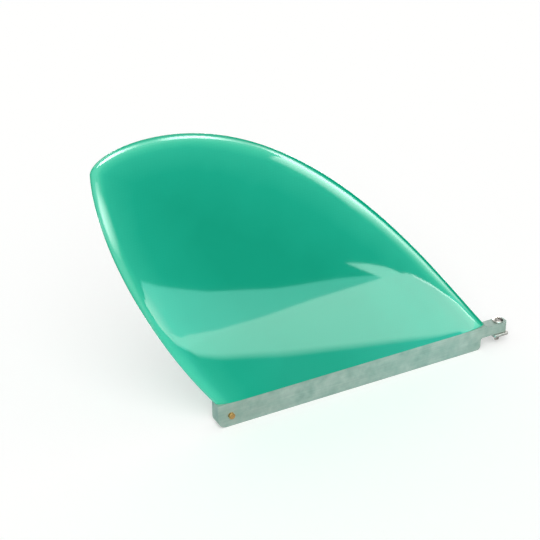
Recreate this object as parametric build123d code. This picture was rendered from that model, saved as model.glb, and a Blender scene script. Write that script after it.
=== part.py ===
"""Single fin for a longboard: a raked, foiled blade on a base tab, with the hardware that fixes it.

Frame, in millimetres: the origin is the foot of the trailing edge, on the base line, in the middle of
the thickness. +X runs forward, +Y is across the thickness, and +Z is up the blade.
"""
from build123d import *
import math
import os

# Blade outline, seen from the side
BASE_CHORD = 226.8          # foot to foot along the base line
BLADE_HEIGHT = 208.7        # base line to crest
CREST_SETBACK = 38.6        # crest behind the trailing foot
TIP_OVERHANG = 81.3         # rearmost point behind the trailing foot
TIP_HEIGHT = 192.0          # rearmost point above the base line
LEADING_RAKE = 39.4         # degrees from upright at the leading foot
TRAILING_RAKE = 36.3        # degrees from upright at the trailing foot

# Fullness of the outline: how far each curve holds its end direction
LEADING_FOOT_PULL = 83.8
LEADING_CREST_PULL = 110.7
TIP_CREST_PULL = 25.8
TIP_REAR_PULL = 8.3
TRAILING_TIP_PULL = 47.9
TRAILING_FOOT_PULL = 76.1

# Foil
PANEL_THICKNESS = 9.3       # the panel that blade and tab are cut from
CREST_THICKNESS = 5.2       # flat of the blade at the height of the crest
LEADING_RIM = 19.0          # width of the rounding, from the edge in to the flat
CREST_RIM = 14.0
TIP_RIM = 11.0
TRAILING_RIM = 14.0
RIM_STEPS = 3               # steps of the loft from the edge to the flat, on each side

# Base tab
TAB_DEPTH = 19.0            # base line to underside
TAB_FRONT_SETBACK = 5.0     # front of the deep part, behind the leading foot
TAB_REAR_ROUND = 7.0        # lower rear corner, rounded so that the fin can be tilted in
TAB_FRONT_ROUND = 3.0
TAB_EDGE_BREAK = 0.4        # sharp edges of the underside broken

# Front tongue
SCREW_LEAD = 13.1           # screw axis ahead of the leading foot
TONGUE_BEYOND_SCREW = 6.5   # end of the tongue, ahead of the screw axis
TONGUE_DROP = 1.5           # top of the tongue below the base line
TONGUE_THICKNESS = 7.9
TONGUE_END_ROUND = 3.2      # upright corners at its end
TONGUE_ROOT_ROUND = 2.0     # under the tongue, where it meets the tab
SCREW_HOLE_CLEARANCE = 0.4  # all round the screw

# Cross pin
PIN_DIAMETER = 4.76
PIN_LENGTH = 13.4
PIN_FROM_REAR = 10.0
PIN_DROP = 10.0             # pin axis below the base line
PIN_HOLE_CLEARANCE = 0.02   # all round the pin
PIN_END_CHAMFER = 0.4

# Machine screw
SCREW_DIAMETER = 4.17
SCREW_LENGTH = 15.9         # under the head
SCREW_END_CHAMFER = 0.6
HEAD_DIAMETER = 8.2
HEAD_HEIGHT = 2.9
HEAD_WALL = 1.5             # height of the head's side before the dome
RECESS_WIDTH = 1.25         # one arm of the cross recess
RECESS_SPAN = 4.5           # across two arms at the top
RECESS_DEPTH = 1.9
RECESS_TAPER = 24.0         # degrees, from the mouth inward

# Threaded plate
PLATE_SIDE = 12.7
PLATE_THICKNESS = 2.4
PLATE_CORNER_ROUND = 1.0
PLATE_EDGE_BREAK = 0.25
THREAD_CLEARANCE = 0.03     # between the plain shank and the plain hole that stand for the thread

# Worked out from the values above
TAB_FRONT = BASE_CHORD - TAB_FRONT_SETBACK
SCREW_X = BASE_CHORD + SCREW_LEAD
TONGUE_FRONT = SCREW_X + TONGUE_BEYOND_SCREW
TONGUE_TOP = -TONGUE_DROP
TONGUE_UNDERSIDE = TONGUE_TOP - TONGUE_THICKNESS
HALF_PANEL = PANEL_THICKNESS / 2
SUNK_FOOT = 3.0             # length that the outline is carried below the base line before trimming


def half_thickness(share, height):
    """Half thickness of the blade at a height, for a share of the panel's thickness there."""
    taper = 1 - (1 - CREST_THICKNESS / PANEL_THICKNESS) * height / BLADE_HEIGHT
    return share * HALF_PANEL * taper


def outline(inward, share):
    """Closed outline moved in from the edge by a share of the rim's width, on one leaning plane."""
    lean = math.radians(LEADING_RAKE)
    trail = math.radians(TRAILING_RAKE)
    front = BASE_CHORD - inward * LEADING_RIM / math.cos(lean)
    rear = inward * TRAILING_RIM / math.cos(trail)
    crest = BLADE_HEIGHT - inward * CREST_RIM
    rearmost = -TIP_OVERHANG + inward * TIP_RIM
    # the tip's curves shorten with it, so that the inner outlines stay round
    tip_share = 1 - inward * TIP_RIM / TIP_OVERHANG
    tip_height = TIP_HEIGHT - inward * CREST_RIM * TIP_HEIGHT / BLADE_HEIGHT

    def place(x, z):
        return (x, half_thickness(share, z), z)

    foot_front = place(front + SUNK_FOOT * math.tan(lean), -SUNK_FOOT)
    foot_rear = place(rear + SUNK_FOOT * math.tan(trail), -SUNK_FOOT)
    leading = Bezier(
        place(front, 0),
        place(front - LEADING_FOOT_PULL * math.sin(lean), LEADING_FOOT_PULL * math.cos(lean)),
        place(-CREST_SETBACK + LEADING_CREST_PULL, crest),
        place(-CREST_SETBACK, crest),
    )
    tip = Bezier(
        place(-CREST_SETBACK, crest),
        place(-CREST_SETBACK - TIP_CREST_PULL * tip_share, crest),
        place(rearmost, tip_height + TIP_REAR_PULL * tip_share),
        place(rearmost, tip_height),
    )
    trailing = Bezier(
        place(rearmost, tip_height),
        place(rearmost, tip_height - TRAILING_TIP_PULL),
        place(rear - TRAILING_FOOT_PULL * math.sin(trail), TRAILING_FOOT_PULL * math.cos(trail)),
        place(rear, 0),
    )
    return Wire([
        Line(foot_front, place(front, 0)),
        leading,
        tip,
        trailing,
        Line(place(rear, 0), foot_rear),
        Line(foot_rear, foot_front),
    ])


def blade():
    """Foil lofted across the thickness: its rim is a quarter ellipse on each side of two flats."""
    sections = []
    for step in range(RIM_STEPS + 1):
        turn = math.radians(90) * step / RIM_STEPS
        sections.append(outline(1 - math.cos(turn), math.sin(turn)))
    reach = 2 * (BASE_CHORD + BLADE_HEIGHT)
    below = Box(reach, reach, reach, align=(Align.CENTER, Align.CENTER, Align.MAX))
    far_half = Solid.make_loft(sections) - below
    return far_half + mirror(far_half, Plane.XZ)


def tab():
    """Deep tab and tongue, cut from the same panel as the blade."""
    corners = {
        (0, 0): 0,
        (0, -TAB_DEPTH): TAB_REAR_ROUND,
        (TAB_FRONT, -TAB_DEPTH): TAB_FRONT_ROUND,
        (TAB_FRONT, TONGUE_UNDERSIDE): TONGUE_ROOT_ROUND,
        (TONGUE_FRONT, TONGUE_UNDERSIDE): 0,
        (TONGUE_FRONT, TONGUE_TOP): 0,
        (BASE_CHORD, TONGUE_TOP): 0,
        (BASE_CHORD, 0): 0,
    }
    side = FilletPolyline(*corners.keys(), radius=corners.values(), close=True)
    body = extrude(make_face(Plane.XZ * side), HALF_PANEL, both=True)
    tongue_end = body.edges().filter_by(Axis.Z).group_by(Axis.X)[-1]
    body = fillet(tongue_end, TONGUE_END_ROUND)
    underside = body.faces().sort_by(Axis.Z)[0]
    return chamfer(underside.edges().filter_by(Axis.X), TAB_EDGE_BREAK)


def fin():
    """Blade and tab in one piece, with the two holes for its hardware."""
    whole = blade() + tab()
    pin_hole = Plane.XZ * Pos(PIN_FROM_REAR, -PIN_DROP) * Cylinder(
        PIN_DIAMETER / 2 + PIN_HOLE_CLEARANCE, 2 * PANEL_THICKNESS)
    screw_hole = Pos(SCREW_X, 0, (TONGUE_TOP + TONGUE_UNDERSIDE) / 2) * Cylinder(
        SCREW_DIAMETER / 2 + SCREW_HOLE_CLEARANCE, 2 * TONGUE_THICKNESS)
    return whole - pin_hole - screw_hole


def cross_pin():
    """Plain rod across the rear of the tab, standing out on both sides."""
    rod = Plane.XZ * Pos(PIN_FROM_REAR, -PIN_DROP) * Cylinder(PIN_DIAMETER / 2, PIN_LENGTH)
    return chamfer(rod.edges().filter_by(GeomType.CIRCLE), PIN_END_CHAMFER)


def cross_recess():
    """Two crossed arms that narrow downwards from the origin, with straight walls above it."""
    shrink = RECESS_DEPTH * math.tan(math.radians(RECESS_TAPER))
    half_span = RECESS_SPAN / 2
    side = Plane.XZ * Polyline(
        (-half_span, HEAD_HEIGHT),
        (-half_span, 0),
        (-half_span + shrink, -RECESS_DEPTH),
        (half_span - shrink, -RECESS_DEPTH),
        (half_span, 0),
        (half_span, HEAD_HEIGHT),
        close=True,
    )
    arm = extrude(make_face(side), RECESS_WIDTH / 2, both=True)
    return arm + Rot(0, 0, 90) * arm


def fin_screw():
    """Pan-head machine screw, seated on the tongue, with a plain shank where the thread is."""
    radius = SCREW_DIAMETER / 2
    head_radius = HEAD_DIAMETER / 2
    dome_height = HEAD_HEIGHT - HEAD_WALL
    dome_radius = (head_radius ** 2 + dome_height ** 2) / (2 * dome_height)
    dome_middle = dome_radius - math.sqrt(dome_radius ** 2 - (head_radius / 2) ** 2)
    section = Polyline(
        (0, HEAD_HEIGHT),
        (0, -SCREW_LENGTH),
        (radius - SCREW_END_CHAMFER, -SCREW_LENGTH),
        (radius, -SCREW_LENGTH + SCREW_END_CHAMFER),
        (radius, 0),
        (head_radius, 0),
        (head_radius, HEAD_WALL),
    )
    dome = ThreePointArc(
        (head_radius, HEAD_WALL),
        (head_radius / 2, HEAD_HEIGHT - dome_middle),
        (0, HEAD_HEIGHT),
    )
    body = revolve(make_face(Plane.XZ * (section + dome)), Axis.Z)
    body -= Pos(0, 0, HEAD_HEIGHT) * cross_recess()
    return Pos(SCREW_X, 0, TONGUE_TOP) * body


def screw_plate():
    """Square plate with the screw's hole, drawn up against the underside of the tongue."""
    plate = Box(PLATE_SIDE, PLATE_SIDE, PLATE_THICKNESS, align=(Align.CENTER, Align.CENTER, Align.MAX))
    plate = fillet(plate.edges().filter_by(Axis.Z), PLATE_CORNER_ROUND)
    plate = chamfer(plate.faces().sort_by(Axis.Z)[0].edges(), PLATE_EDGE_BREAK)
    plate -= Cylinder(SCREW_DIAMETER / 2 + THREAD_CLEARANCE, 4 * PLATE_THICKNESS)
    return Pos(SCREW_X, 0, TONGUE_UNDERSIDE) * plate


os.makedirs("parts", exist_ok=True)
for name, piece in {
    "fin": fin(),
    "cross_pin": cross_pin(),
    "fin_screw": fin_screw(),
    "screw_plate": screw_plate(),
}.items():
    export_step(piece, f"parts/{name}.step")
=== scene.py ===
"""Looks of a single longboard fin: foiled laminate blade and tab, brass cross pin, fin screw and plate.

Everything is in metres in the packed model's frame: the origin is the foot of the trailing edge on the
base line, +X runs forward, +Y is across the fin and +Z is up the blade.
"""

import math

import bmesh
import bpy
from mathutils import Matrix, Vector


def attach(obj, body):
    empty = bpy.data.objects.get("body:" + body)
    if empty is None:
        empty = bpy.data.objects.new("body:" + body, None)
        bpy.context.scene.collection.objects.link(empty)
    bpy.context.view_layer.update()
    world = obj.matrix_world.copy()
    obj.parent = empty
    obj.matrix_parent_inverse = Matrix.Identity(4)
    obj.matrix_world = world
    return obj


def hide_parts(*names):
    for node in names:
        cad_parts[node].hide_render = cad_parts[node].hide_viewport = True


bl_info = {
    "name": "Longboard Fin",
    "version": (1, 0, 0),
    "blender": (4, 5, 0),
    "location": "View3D > Sidebar > Longboard Fin",
    "description": "Builds a foiled longboard fin with its hardware, and a plain studio",
    "category": "Object",
}

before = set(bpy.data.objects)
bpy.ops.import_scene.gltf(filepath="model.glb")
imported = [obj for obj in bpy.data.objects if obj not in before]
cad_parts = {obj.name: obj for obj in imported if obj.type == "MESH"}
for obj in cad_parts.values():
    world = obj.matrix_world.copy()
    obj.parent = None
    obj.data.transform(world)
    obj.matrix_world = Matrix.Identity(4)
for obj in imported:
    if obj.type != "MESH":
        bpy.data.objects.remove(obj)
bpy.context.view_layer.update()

MM = 0.001
SAME = 1e-7                 # in metres: what is closer than this is in the same place

# Fullness of the blade's outline: how far each curve holds its end direction
LEADING_FOOT_PULL = 83.8 * MM
LEADING_CREST_PULL = 110.7 * MM
TIP_CREST_PULL = 25.8 * MM
TIP_REAR_PULL = 8.3 * MM
TRAILING_TIP_PULL = 47.9 * MM
TRAILING_FOOT_PULL = 76.1 * MM
LEADING_SPLIT = 0.62        # share of the leading edge's course below its split into two runs

# The blade's foot goes on into the tab, a little smaller all round, where the two are joined
SUNK_FOOT = 3.0 * MM
SUNK_INSET = 0.5 * MM
SUNK_SHARE = 0.9
JOINT_STEP = 0.02 * MM      # the tab is thinner than the blade by this, so no two faces coincide

# Clearances all round
PIN_HOLE_CLEARANCE = 0.02 * MM
SCREW_HOLE_CLEARANCE = 0.4 * MM
THREAD_CLEARANCE = 0.03 * MM

# Small forms of the hardware
PIN_END_ROUND = 0.4 * MM
SEAT_ROUND = 0.15 * MM      # under the edge of the screw's head
WALL_ROUND = 0.2 * MM       # top of the head's side, softened
DOME_INSET = 3              # and the dome starts this many degrees in from it
SHANK_OVERLAP = 0.2 * MM    # end of the shank inside the head
RECESS_SLOPE = math.tan(math.radians(24))   # ends of the arms, from upright
RECESS_NARROWING = 0.08     # sides of the arms, from upright
RECESS_POINT = 0.35 * MM    # middle of the recess below the floor of its arms
RECESS_ABOVE = 0.3 * MM     # its cutter above the dome
THREAD_DEPTH = 0.54         # share of the pitch
THREAD_RUN_OUT = 0.6 * MM
TAP_TURNS = 6               # turns of the thread between the screw's end and the plate's cutter
TAP_RISE = 0.9 * MM         # cutter above the plate
PLATE_CORNER_ROUND = 1.0 * MM
PLATE_EDGE_ROUND = 0.25 * MM

# Steps of the meshes
CURVE_STEPS = 36            # along each run of the blade's outline
RIM_STEPS = 16              # from the edge to the flat
FLAT_STEPS = 10             # from there to the middle
CORNER_STEPS = 10           # round each corner of the tab
ROUND_STEPS = 72            # round a turned piece
THREAD_STEPS = 48           # round the thread
PITCH_STEPS = 16            # along each pitch
SMOOTH_UP_TO = math.radians(32)

# Colour of the laminate and its painted light at the rim, by its distance from the edge
RAMP_DEPTH = 60 * MM
# the edge's line is painted shade, and these two set its width
LINE_START = 0.7 * MM       # the edge's line is narrower than the ramp's by this at the trailing foot
LINE_GROWTH = (0.0079, 0, 0.005)    # and it widens by these shares of the way forward and up

# Studio
CAMERA_PLACE = (-379.25 * MM, -778.25 * MM, 581.1 * MM)
KEY_DIRECTION = (-0.35, -0.6, 0.72)
KEY_SPREAD = math.radians(45)
FILL = 0.55                 # strength of the world's light on the fin
FLOOR_GLOW = 0.2
CREST_MIDDLE = (0, 0, 195 * MM)

MATH = "ShaderNodeMath"
WHOLE = "FunctionNodeIntegerMath"
SPREAD = "ShaderNodeMapRange"


def linear(code):
    """Linear red, green, blue and alpha of an sRGB hex value."""
    values = [int(code[i:i + 2], 16) / 255 for i in (1, 3, 5)]
    return (*[v / 12.92 if v <= 0.04045 else ((v + 0.055) / 1.055) ** 2.4 for v in values], 1.0)


def length(name, description, size):
    """Length property with its default given in millimetres."""
    return bpy.props.FloatProperty(
        name=name, description=description, default=size * MM, min=0.0,
        subtype="DISTANCE", unit="LENGTH", precision=5)


def angle(name, description, degrees):
    """Angle property with its default given in degrees."""
    return bpy.props.FloatProperty(
        name=name, description=description, default=math.radians(degrees),
        subtype="ANGLE", unit="ROTATION")


def colour(name, description, code):
    """Colour property with its default given as an sRGB hex value."""
    return bpy.props.FloatVectorProperty(
        name=name, description=description, default=linear(code), size=4, min=0.0, max=1.0,
        subtype="COLOR")


class BladeSizes(bpy.types.PropertyGroup):
    """Outline and foil of the blade"""
    base_chord: length("Base chord", "Foot to foot along the base line", 226.8)
    blade_height: length("Blade height", "Base line to crest", 208.7)
    crest_setback: length("Crest setback", "Crest behind the trailing foot", 38.6)
    tip_overhang: length("Tip overhang", "Rearmost point behind the trailing foot", 81.3)
    tip_height: length("Tip height", "Rearmost point above the base line", 192.0)
    leading_rake: angle("Leading rake", "Lean of the leading edge at its foot", 39.4)
    trailing_rake: angle("Trailing rake", "Lean of the trailing edge at its foot", 36.3)
    panel_thickness: length("Panel thickness", "Thickness at the base line", 9.3)
    crest_thickness: length("Crest thickness", "Thickness of the flat at the crest", 5.2)
    leading_rim: length("Leading rim", "Width of the rounding at the leading edge", 19.0)
    crest_rim: length("Crest rim", "Width of the rounding at the crest", 14.0)
    tip_rim: length("Tip rim", "Width of the rounding at the tip", 11.0)
    trailing_rim: length("Trailing rim", "Width of the rounding at the trailing edge", 14.0)


class TabSizes(bpy.types.PropertyGroup):
    """Base tab and front tongue"""
    tab_depth: length("Tab depth", "Base line to underside", 19.0)
    front_setback: length("Front setback", "Front of the deep part, behind the leading foot", 5.0)
    rear_round: length("Rear round", "Lower rear corner", 7.0)
    front_round: length("Front round", "Lower front corner", 3.0)
    edge_break: length("Edge break", "Edges of the underside", 0.4)
    tongue_drop: length("Tongue drop", "Top of the tongue below the base line", 1.5)
    tongue_thickness: length("Tongue thickness", "Height of the tongue", 7.9)
    tongue_reach: length("Tongue reach", "End of the tongue, ahead of the leading foot", 19.6)
    tongue_end_round: length("Tongue end round", "Upright corners at its end", 3.2)
    tongue_root_round: length("Tongue root round", "Under the tongue, where it meets the tab", 2.0)


class HardwareSizes(bpy.types.PropertyGroup):
    """Cross pin, fin screw and plate"""
    pin_diameter: length("Pin diameter", "Brass rod", 4.76)
    pin_length: length("Pin length", "End to end", 13.4)
    pin_from_rear: length("Pin from rear", "Pin axis ahead of the trailing foot", 10.0)
    pin_drop: length("Pin drop", "Pin axis below the base line", 10.0)
    screw_lead: length("Screw lead", "Screw axis ahead of the leading foot", 13.1)
    screw_diameter: length("Screw diameter", "Over the thread", 4.17)
    screw_length: length("Screw length", "Under the head", 15.9)
    thread_pitch: length("Thread pitch", "One turn of the thread", 0.794)
    head_diameter: length("Head diameter", "Pan head", 8.2)
    head_height: length("Head height", "Seat to top of the dome", 2.9)
    head_wall: length("Head wall", "Height of the head's side", 1.5)
    recess_span: length("Recess span", "Across two arms of the cross recess", 4.5)
    recess_width: length("Recess width", "One arm of the cross recess", 1.25)
    recess_depth: length("Recess depth", "Depth of the cross recess", 1.9)
    plate_side: length("Plate side", "Square plate", 12.7)
    plate_thickness: length("Plate thickness", "Square plate", 2.4)


class FinColours(bpy.types.PropertyGroup):
    """Colours of the laminate and the metals"""
    deep: colour("Deep laminate", "Middle of the blade, furthest from its edge", "#16A383")
    body: colour("Body", "25 mm in from the edge", "#1DAE8E")
    # shoulder and thin are partly the resin's colour and partly painted light: their paleness paints
    # reflection and light through the thin rim
    shoulder: colour("Shoulder", "Where the rim turns into the flat", "#2FBC9B")
    thin: colour("Thin laminate", "Where the rim is thin", "#47D0AA")
    # edge is painted shade: a darker line on the very edge
    edge: colour("Edge", "Line of resin on the very edge", "#08AE87")
    sanded: colour("Sanded tab", "Bare laminate below the base line", "#7F9C90")
    dust: colour("Sanding dust", "Paler patches of the sanded tab", "#9DB1A6")
    brass: colour("Brass", "Cross pin", "#C9A063")
    steel: colour("Stainless steel", "Screw and plate", "#B9B6B0")


class StudioSettings(bpy.types.PropertyGroup):
    """Floor, light and camera"""
    floor: colour("Floor", "Floor and backdrop", "#EFEFEE")
    key_light: bpy.props.FloatProperty(
        name="Key light", description="Strength of the broad soft key", default=1.65, min=0.0)
    camera_turn: angle("Camera turn", "Camera's heading, from +Y towards +X", 28.5)
    camera_tilt: angle("Camera tilt", "Camera's tilt below the horizon", 28.8)
    lens: bpy.props.FloatProperty(
        name="Lens", description="Focal length on a 36 mm sensor", default=100.0, min=1.0, unit="CAMERA")


def add(tree, kind, sockets=None, **settings):
    """Adds a node, then sets or links its inputs. A node given as a value links its first output."""
    node = tree.nodes.new(kind)
    for name, value in settings.items():
        setattr(node, name, value)
    for key, value in (sockets or {}).items():
        if isinstance(key, str):
            target = next(s for s in node.inputs if s.enabled and s.name == key)
        else:
            target = node.inputs[key]
        if isinstance(value, bpy.types.Node):
            value = next(s for s in value.outputs if s.enabled)
        if isinstance(value, bpy.types.NodeSocket):
            tree.links.new(value, target)
        else:
            target.default_value = value
    return node


def new_material(name):
    """Empty node material and its tree."""
    material = bpy.data.materials.new(name)
    material.use_nodes = True
    material.node_tree.nodes.clear()
    return material, material.node_tree


def new_tree(name, inputs):
    """Geometry node tree with named inputs, and their sockets."""
    tree = bpy.data.node_groups.new(name, "GeometryNodeTree")
    for socket, kind in inputs.items():
        tree.interface.new_socket(socket, in_out="INPUT", socket_type=kind)
    tree.interface.new_socket("Geometry", in_out="OUTPUT", socket_type="NodeSocketGeometry")
    return tree, tree.nodes.new("NodeGroupInput").outputs


def end_tree(tree, geometry, material):
    """Ends a geometry node tree: one welded, real mesh with its material."""
    welded = add(tree, "GeometryNodeMergeByDistance", {"Geometry": geometry, "Distance": 10 * SAME})
    real = add(tree, "GeometryNodeRealizeInstances", {"Geometry": welded})
    dressed = add(tree, "GeometryNodeSetMaterial", {"Geometry": real, "Material": material})
    add(tree, "NodeGroupOutput", {"Geometry": dressed})
    return tree


def new_object(name, mesh):
    """Object at the origin, in the scene."""
    piece = bpy.data.objects.new(name, mesh)
    bpy.context.scene.collection.objects.link(piece)
    return piece


def from_bmesh(name, bm, materials, material_index=0):
    """Object from a bmesh, with its faces turned outwards."""
    bmesh.ops.remove_doubles(bm, verts=bm.verts, dist=SAME)
    bmesh.ops.recalc_face_normals(bm, faces=bm.faces)
    for face in bm.faces:
        face.smooth = True
        face.material_index = material_index
    mesh = bpy.data.meshes.new(name)
    bm.to_mesh(mesh)
    bm.free()
    for material in materials:
        mesh.materials.append(material)
    return new_object(name, mesh)


def settle(piece):
    """Turns the object as its modifiers leave it into a plain mesh, and removes them."""
    evaluated = piece.evaluated_get(bpy.context.evaluated_depsgraph_get())
    mesh = bpy.data.meshes.new_from_object(evaluated)
    piece.modifiers.clear()
    piece.data = mesh
    mesh.name = piece.name
    return piece


def run_tree(name, tree, values):
    """Plain mesh object made by a geometry node tree, with its inputs set by identifier."""
    piece = new_object(name, bpy.data.meshes.new(name))
    modifier = piece.modifiers.new("Shape", "NODES")
    modifier.node_group = tree
    sockets = {s.name: s.identifier for s in tree.interface.items_tree if s.in_out == "INPUT"}
    for socket, value in values.items():
        modifier[sockets[socket]] = value
    return settle(piece)


def combine(piece, tool, operation):
    """Joins the tool to the piece, or cuts it out, and removes the tool."""
    modifier = piece.modifiers.new("Combine", "BOOLEAN")
    modifier.operation = operation
    modifier.solver = "EXACT"
    modifier.object = tool
    settle(piece)
    bpy.data.objects.remove(tool)
    return piece


def close_holes(piece):
    """Closes the open ends of a mesh with one flat face each, and turns all faces outwards."""
    bm = bmesh.new()
    bm.from_mesh(piece.data)
    open_edges = [edge for edge in bm.edges if edge.is_boundary]
    bmesh.ops.holes_fill(bm, edges=open_edges, sides=0)
    bmesh.ops.recalc_face_normals(bm, faces=bm.faces)
    bm.to_mesh(piece.data)
    bm.free()
    return piece


def finish(piece, node):
    """Checks that the piece is closed, shades it, and hands it over for the CAD node it stands for."""
    bm = bmesh.new()
    bm.from_mesh(piece.data)
    bmesh.ops.remove_doubles(bm, verts=bm.verts, dist=2 * SAME)
    bmesh.ops.dissolve_degenerate(bm, dist=SAME, edges=bm.edges)
    loose = sum(not edge.is_manifold for edge in bm.edges)
    volume = bm.calc_volume(signed=True)
    for face in bm.faces:
        face.smooth = True
    bm.to_mesh(piece.data)
    bm.free()
    if loose or volume <= 0:
        raise RuntimeError(f"{piece.name} isn't closed: {loose} open edges, volume {volume}")
    piece.data.set_sharp_from_angle(angle=SMOOTH_UP_TO)
    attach(piece, "root")
    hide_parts(node)


def bevel(bm, edges, offset, segments):
    """Rounds these edges, or breaks them."""
    bmesh.ops.bevel(bm, geom=edges, offset=offset, segments=segments, profile=0.5, affect="EDGES")


def lathe(profile):
    """Closed body turned round Z from (radius, height) points that start and end on the axis."""
    bm = bmesh.new()
    turns = [math.tau * i / ROUND_STEPS for i in range(ROUND_STEPS)]
    rings = []
    for radius, height in profile:
        if radius == 0:
            rings.append([bm.verts.new((0, 0, height))] * ROUND_STEPS)
        else:
            ring = [(radius * math.cos(t), radius * math.sin(t), height) for t in turns]
            rings.append([bm.verts.new(point) for point in ring])
    for low, high in zip(rings, rings[1:]):
        for i in range(ROUND_STEPS):
            k = (i + 1) % ROUND_STEPS
            bm.faces.new(list(dict.fromkeys([low[i], low[k], high[k], high[i]])))
    return bm


def bar(radius, reach):
    """Plain round bar along Z, reaching this far on both sides of the origin."""
    return lathe([(0, -reach), (radius, -reach), (radius, reach), (0, reach)])


def lay_across(bm, hardware):
    """Lays a body that stands on Z along the pin's axis."""
    place = Matrix.Translation((hardware.pin_from_rear, 0, -hardware.pin_drop))
    bmesh.ops.transform(bm, matrix=place @ Matrix.Rotation(math.pi / 2, 4, "X"), verts=bm.verts)
    return bm


def arc(centre, radius, start, end, steps):
    """Points on a circle from one angle to another, in degrees."""
    turns = [math.radians(start + (end - start) * i / steps) for i in range(steps + 1)]
    return [(centre[0] + radius * math.cos(t), centre[1] + radius * math.sin(t)) for t in turns]


def rounded(corners):
    """Closed outline in X and Z through corners given as (x, z, radius)."""
    points = []
    for i, (x, z, radius) in enumerate(corners):
        here = Vector((x, 0, z))
        if radius == 0:
            points.append(here)
            continue
        back = (Vector((corners[i - 1][0], 0, corners[i - 1][1])) - here).normalized()
        after = corners[(i + 1) % len(corners)]
        on = (Vector((after[0], 0, after[1])) - here).normalized()
        half = back.angle(on) / 2
        centre = here + (back + on).normalized() * radius / math.sin(half)
        first = (here + back * radius / math.tan(half) - centre).normalized()
        last = (here + on * radius / math.tan(half) - centre).normalized()
        points += [centre + radius * first.slerp(last, k / CORNER_STEPS) for k in range(CORNER_STEPS + 1)]
    return points


def bezier(points, share):
    """Splits a cubic curve at a share of its course into two cubic curves."""
    a, b, c, d = points
    ab, bc, cd = a.lerp(b, share), b.lerp(c, share), c.lerp(d, share)
    abc, bcd = ab.lerp(bc, share), bc.lerp(cd, share)
    middle = abc.lerp(bcd, share)
    return [a, ab, abc, middle], [middle, bcd, cd, d]


def outline_curve(name, blade, inward):
    """Curve object of the blade's outline, moved in from the edge by a share of the rim's width."""
    lean, trail = blade.leading_rake, blade.trailing_rake
    front = blade.base_chord - inward * blade.leading_rim / math.cos(lean)
    rear = inward * blade.trailing_rim / math.cos(trail)
    crest = blade.blade_height - inward * blade.crest_rim
    rearmost = -blade.tip_overhang + inward * blade.tip_rim
    tip_share = 1 - inward * blade.tip_rim / blade.tip_overhang
    tip_height = blade.tip_height - inward * blade.crest_rim * blade.tip_height / blade.blade_height
    top = -blade.crest_setback

    def at(x, z):
        return Vector((x, 0, z))

    def straight(start, end):
        return [start, start.lerp(end, 1 / 3), start.lerp(end, 2 / 3), end]

    leading = [
        at(front, 0),
        at(front - LEADING_FOOT_PULL * math.sin(lean), LEADING_FOOT_PULL * math.cos(lean)),
        at(top + LEADING_CREST_PULL, crest),
        at(top, crest),
    ]
    tip = [
        at(top, crest),
        at(top - TIP_CREST_PULL * tip_share, crest),
        at(rearmost, tip_height + TIP_REAR_PULL * tip_share),
        at(rearmost, tip_height),
    ]
    trailing = [
        at(rearmost, tip_height),
        at(rearmost, tip_height - TRAILING_TIP_PULL),
        at(rear - TRAILING_FOOT_PULL * math.sin(trail), TRAILING_FOOT_PULL * math.cos(trail)),
        at(rear, 0),
    ]
    # two runs of curve on each side of the crest, so that front and rear points pair up across the flat
    lower, upper = bezier(leading, LEADING_SPLIT)
    foot_front = straight(at(front - SUNK_INSET, -SUNK_FOOT), leading[0])
    foot_rear = straight(trailing[3], at(rear + SUNK_INSET, -SUNK_FOOT))
    runs = [foot_front, lower, upper, tip, trailing, foot_rear]
    curve = bpy.data.curves.new(name, "CURVE")
    curve.dimensions = "3D"
    curve.resolution_u = CURVE_STEPS
    spline = curve.splines.new("BEZIER")
    spline.bezier_points.add(len(runs))
    for i, knot in enumerate(spline.bezier_points):
        before, after = runs[max(i - 1, 0)], runs[min(i, len(runs) - 1)]
        knot.handle_left_type = knot.handle_right_type = "FREE"
        knot.co = after[0] if i < len(runs) else before[3]
        knot.handle_left = before[2] if i else after[0]
        knot.handle_right = after[1] if i < len(runs) else before[3]
    return new_object(name, curve)


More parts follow.
